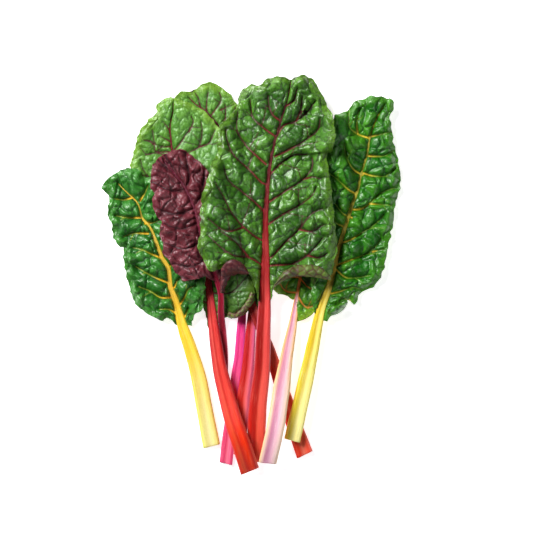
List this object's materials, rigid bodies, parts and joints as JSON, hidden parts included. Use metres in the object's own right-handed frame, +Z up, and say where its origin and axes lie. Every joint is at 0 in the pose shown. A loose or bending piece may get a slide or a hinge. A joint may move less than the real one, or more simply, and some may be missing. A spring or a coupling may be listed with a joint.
{
  "type": "swiss chard bunch",
  "caption": "Loose bunch of rainbow chard leaves lying flat, cut stalks together at one end and broad crinkled blades fanned out at the other.",
  "frame": {"origin": "centre of the bunch in plan, on the surface it lies on", "axes": "+Y from the cut stalk ends towards the leaf tips, +Z up from the surface, +X to the right when looking down with the tips away"},
  "size_m": [0.2971, 0.3954, 0.0346],
  "materials": {
    "magenta_stalk": "satin",
    "magenta_blade": "satin",
    "rose_stalk": "satin",
    "rose_blade": "satin",
    "crimson_back_stalk": "satin",
    "crimson_back_blade": "satin",
    "red_front_stalk": "satin",
    "red_front_blade": "satin",
    "yellow_left_stalk": "satin",
    "yellow_left_blade": "satin",
    "purple_stalk": "satin",
    "purple_blade": "satin",
    "pale_pink_stalk": "satin",
    "pale_pink_blade": "satin",
    "yellow_right_stalk": "satin",
    "yellow_right_blade": "satin",
    "red_centre_stalk": "satin",
    "red_centre_blade": "satin"
  },
  "bodies": {
    "root": {"magenta_stalk": "magenta_stalk", "magenta_blade": "magenta_blade", "rose_stalk": "rose_stalk", "rose_blade": "rose_blade", "crimson_back_stalk": "crimson_back_stalk", "crimson_back_blade": "crimson_back_blade", "red_front_stalk": "red_front_stalk", "red_front_blade": "red_front_blade", "yellow_left_stalk": "yellow_left_stalk", "yellow_left_blade": "yellow_left_blade", "purple_stalk": "purple_stalk", "purple_blade": "purple_blade", "pale_pink_stalk": "pale_pink_stalk", "pale_pink_blade": "pale_pink_blade", "yellow_right_stalk": "yellow_right_stalk", "yellow_right_blade": "yellow_right_blade", "red_centre_stalk": "red_centre_stalk", "red_centre_blade": "red_centre_blade"}
  },
  "joints": []
}
